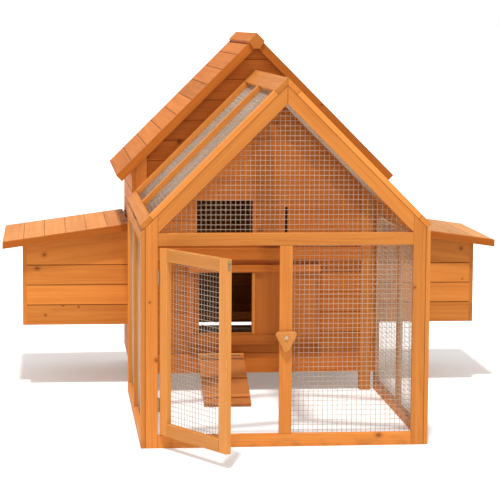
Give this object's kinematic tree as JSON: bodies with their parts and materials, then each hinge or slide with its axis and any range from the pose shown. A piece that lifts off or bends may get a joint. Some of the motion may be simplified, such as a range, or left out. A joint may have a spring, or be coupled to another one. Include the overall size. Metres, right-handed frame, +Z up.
{
  "type": "chicken coop",
  "caption": "Timber hen house with a mesh A-frame run in front, a hinged run door, ramp, sliding pop door, pull-out tray and nest boxes with lifting lids on both sides.",
  "frame": {"origin": "centre of the bottom of the bounding box, with the run door standing open", "axes": "+X to the right seen from the front, +Y from the front of the run to the back of the house, +Z up"},
  "size_m": [1.759, 1.9746, 1.2578],
  "materials": {
    "frame_timber": "orange-brown stained fir, planed",
    "wall_boards": "orange-brown stained fir boards, grooved joints",
    "roof_boards": "orange-brown stained fir boards, weathered lighter",
    "galvanised_mesh": "galvanised welded wire",
    "zinc_plated_steel": "dull zinc plate"
  },
  "bodies": {
    "coop": {"barge_boards": "frame_timber", "bay_mesh": "galvanised_mesh", "button_screw": "zinc_plated_steel", "button_washer": "zinc_plated_steel", "floor_bearers": "frame_timber", "front_bottom_rail": "frame_timber", "front_crossbar": "frame_timber", "front_gable_boards": "wall_boards", "front_middle_post": "frame_timber", "front_posts": "frame_timber", "front_rafters": "frame_timber", "front_wall_boards": "wall_boards", "front_wall_rail": "frame_timber", "gable_mesh": "galvanised_mesh", "hinge_fixed_leaves": "zinc_plated_steel", "hinge_pins": "zinc_plated_steel", "house_floor_boards": "wall_boards", "house_posts": "frame_timber", "house_roof_boards_left": "roof_boards", "house_roof_boards_right": "roof_boards", "nest_dividers": "wall_boards", "nest_floors": "wall_boards", "nest_walls_left": "wall_boards", "nest_walls_right": "wall_boards", "pop_door_stops": "frame_timber", "pop_door_tracks": "frame_timber", "ramp_ledge": "frame_timber", "rear_wall_boards": "wall_boards", "ridge_cap": "roof_boards", "roost_bar": "frame_timber", "roost_cleats": "frame_timber", "run_eave_rails": "frame_timber", "run_ridge_rails": "frame_timber", "run_roof_mesh_left": "galvanised_mesh", "run_roof_mesh_right": "galvanised_mesh", "run_roof_rafters_left": "frame_timber", "run_roof_rafters_right": "frame_timber", "side_frame_left": "frame_timber", "side_frame_right": "frame_timber", "side_mesh_left": "galvanised_mesh", "side_mesh_right": "galvanised_mesh", "side_wall_left": "wall_boards", "side_wall_right": "wall_boards"},
    "run_door": {"run_door_frame": "frame_timber", "run_door_mesh": "galvanised_mesh", "door_catch_plate": "zinc_plated_steel", "door_hinge_door_leaves": "zinc_plated_steel"},
    "turn_button": {"turn_button": "frame_timber"},
    "pop_door": {"pop_door_panel": "wall_boards", "pop_door_pull": "frame_timber"},
    "ramp": {"ramp_board": "frame_timber", "ramp_treads": "frame_timber", "ramp_hinge_ramp_leaves": "zinc_plated_steel"},
    "nest_lid_left": {"nest_lid_boards_left": "roof_boards", "nest_lid_fascias_left": "frame_timber", "lid_hinge_leaves_left": "zinc_plated_steel"},
    "nest_lid_right": {"nest_lid_boards_right": "roof_boards", "nest_lid_fascias_right": "frame_timber", "lid_hinge_leaves_right": "zinc_plated_steel"},
    "dropping_tray": {"dropping_tray": "wall_boards"}
  },
  "joints": [
    {"name": "run_door_hinge", "type": "hinge", "parent": "coop", "child": "run_door", "pos_m": [-0.39, -0.68308, 0.33], "axis": [0, 0, 1], "range_deg": [-110, 60]},
    {"name": "turn_button_turn", "type": "hinge", "parent": "coop", "child": "turn_button", "pos_m": [0, -0.68768, 0.34], "axis": [0, 1, 0], "range_deg": [-90, 90]},
    {"name": "pop_door_slide", "type": "slide", "parent": "coop", "child": "pop_door", "axis": [1, 0, 0], "range_m": [-0.204, 0]},
    {"name": "ramp_fold", "type": "hinge", "parent": "coop", "child": "ramp", "pos_m": [-0.118, 0.23232, 0.134], "axis": [-1, 0, 0], "range_deg": [0, 110]},
    {"name": "nest_lid_left_lift", "type": "hinge", "parent": "coop", "child": "nest_lid_left", "pos_m": [-0.433, 0.65982, 0.58861], "axis": [0, 1, 0], "range_deg": [0, 65]},
    {"name": "nest_lid_right_lift", "type": "hinge", "parent": "coop", "child": "nest_lid_right", "pos_m": [0.433, 0.65982, 0.58861], "axis": [0, -1, 0], "range_deg": [0, 65]},
    {"name": "dropping_tray_slide", "type": "slide", "parent": "coop", "child": "dropping_tray", "axis": [0, 1, 0], "range_m": [0, 0.6]}
  ]
}
